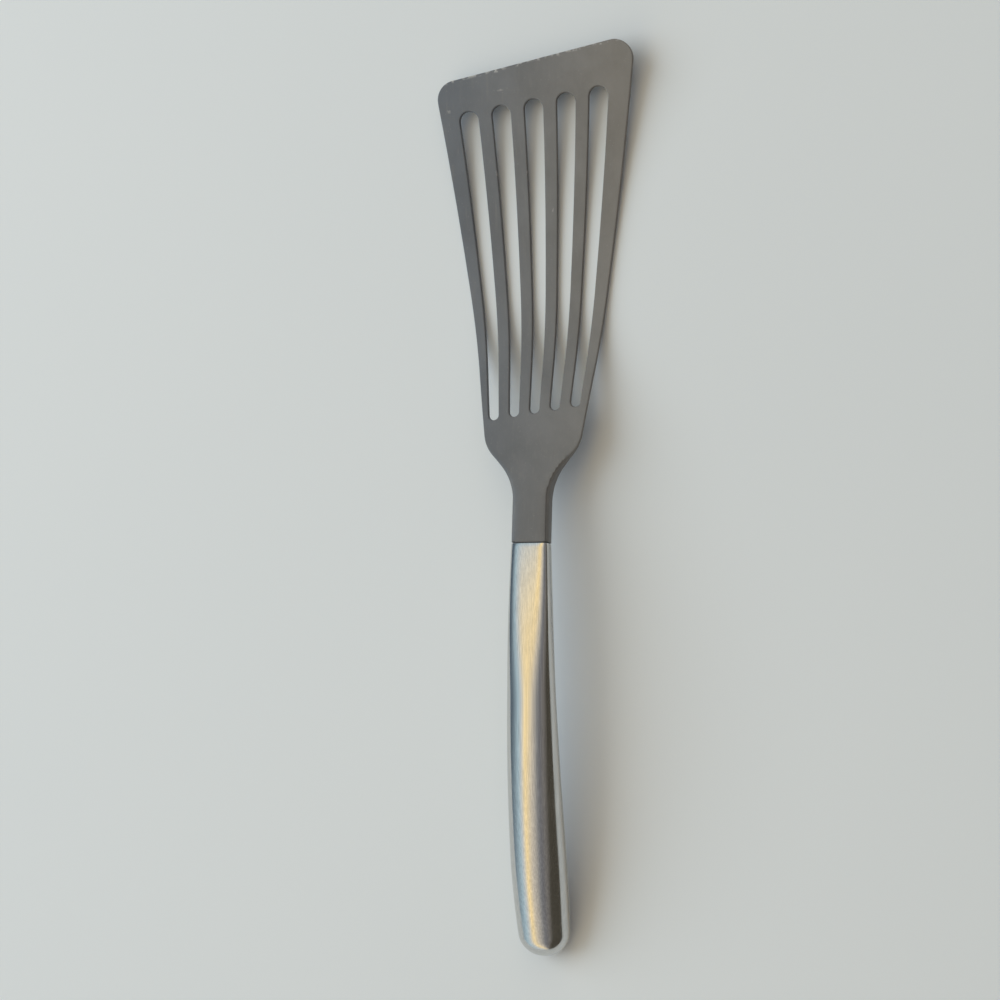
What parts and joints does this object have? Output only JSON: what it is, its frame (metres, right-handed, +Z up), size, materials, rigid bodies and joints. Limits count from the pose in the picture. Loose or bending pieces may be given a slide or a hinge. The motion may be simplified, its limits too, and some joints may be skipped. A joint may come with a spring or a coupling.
{
  "type": "fish spatula",
  "caption": "Slotted nylon turner with a slanted, bevelled front edge, a gently bowed blade and an arched hollow steel handle.",
  "frame": {"origin": "On the ground under the middle of the object's bounding box, with the tool lying face up", "axes": "+Y runs from the handle's closed end to the blade's front edge, +Z is up, +X is on the side of the front edge's far corner"},
  "size_m": [0.0744, 0.3356, 0.0298],
  "materials": {
    "nylon": "moulded satin, lightly worn",
    "handle_steel": "satin brushed along its length",
    "strip": "plain rolled",
    "resin": "cast"
  },
  "bodies": {
    "root": {"blade": "nylon", "core_strip": "strip", "handle_top_shell": "handle_steel", "handle_bottom_shell": "handle_steel", "resin_fill": "resin"}
  },
  "joints": []
}
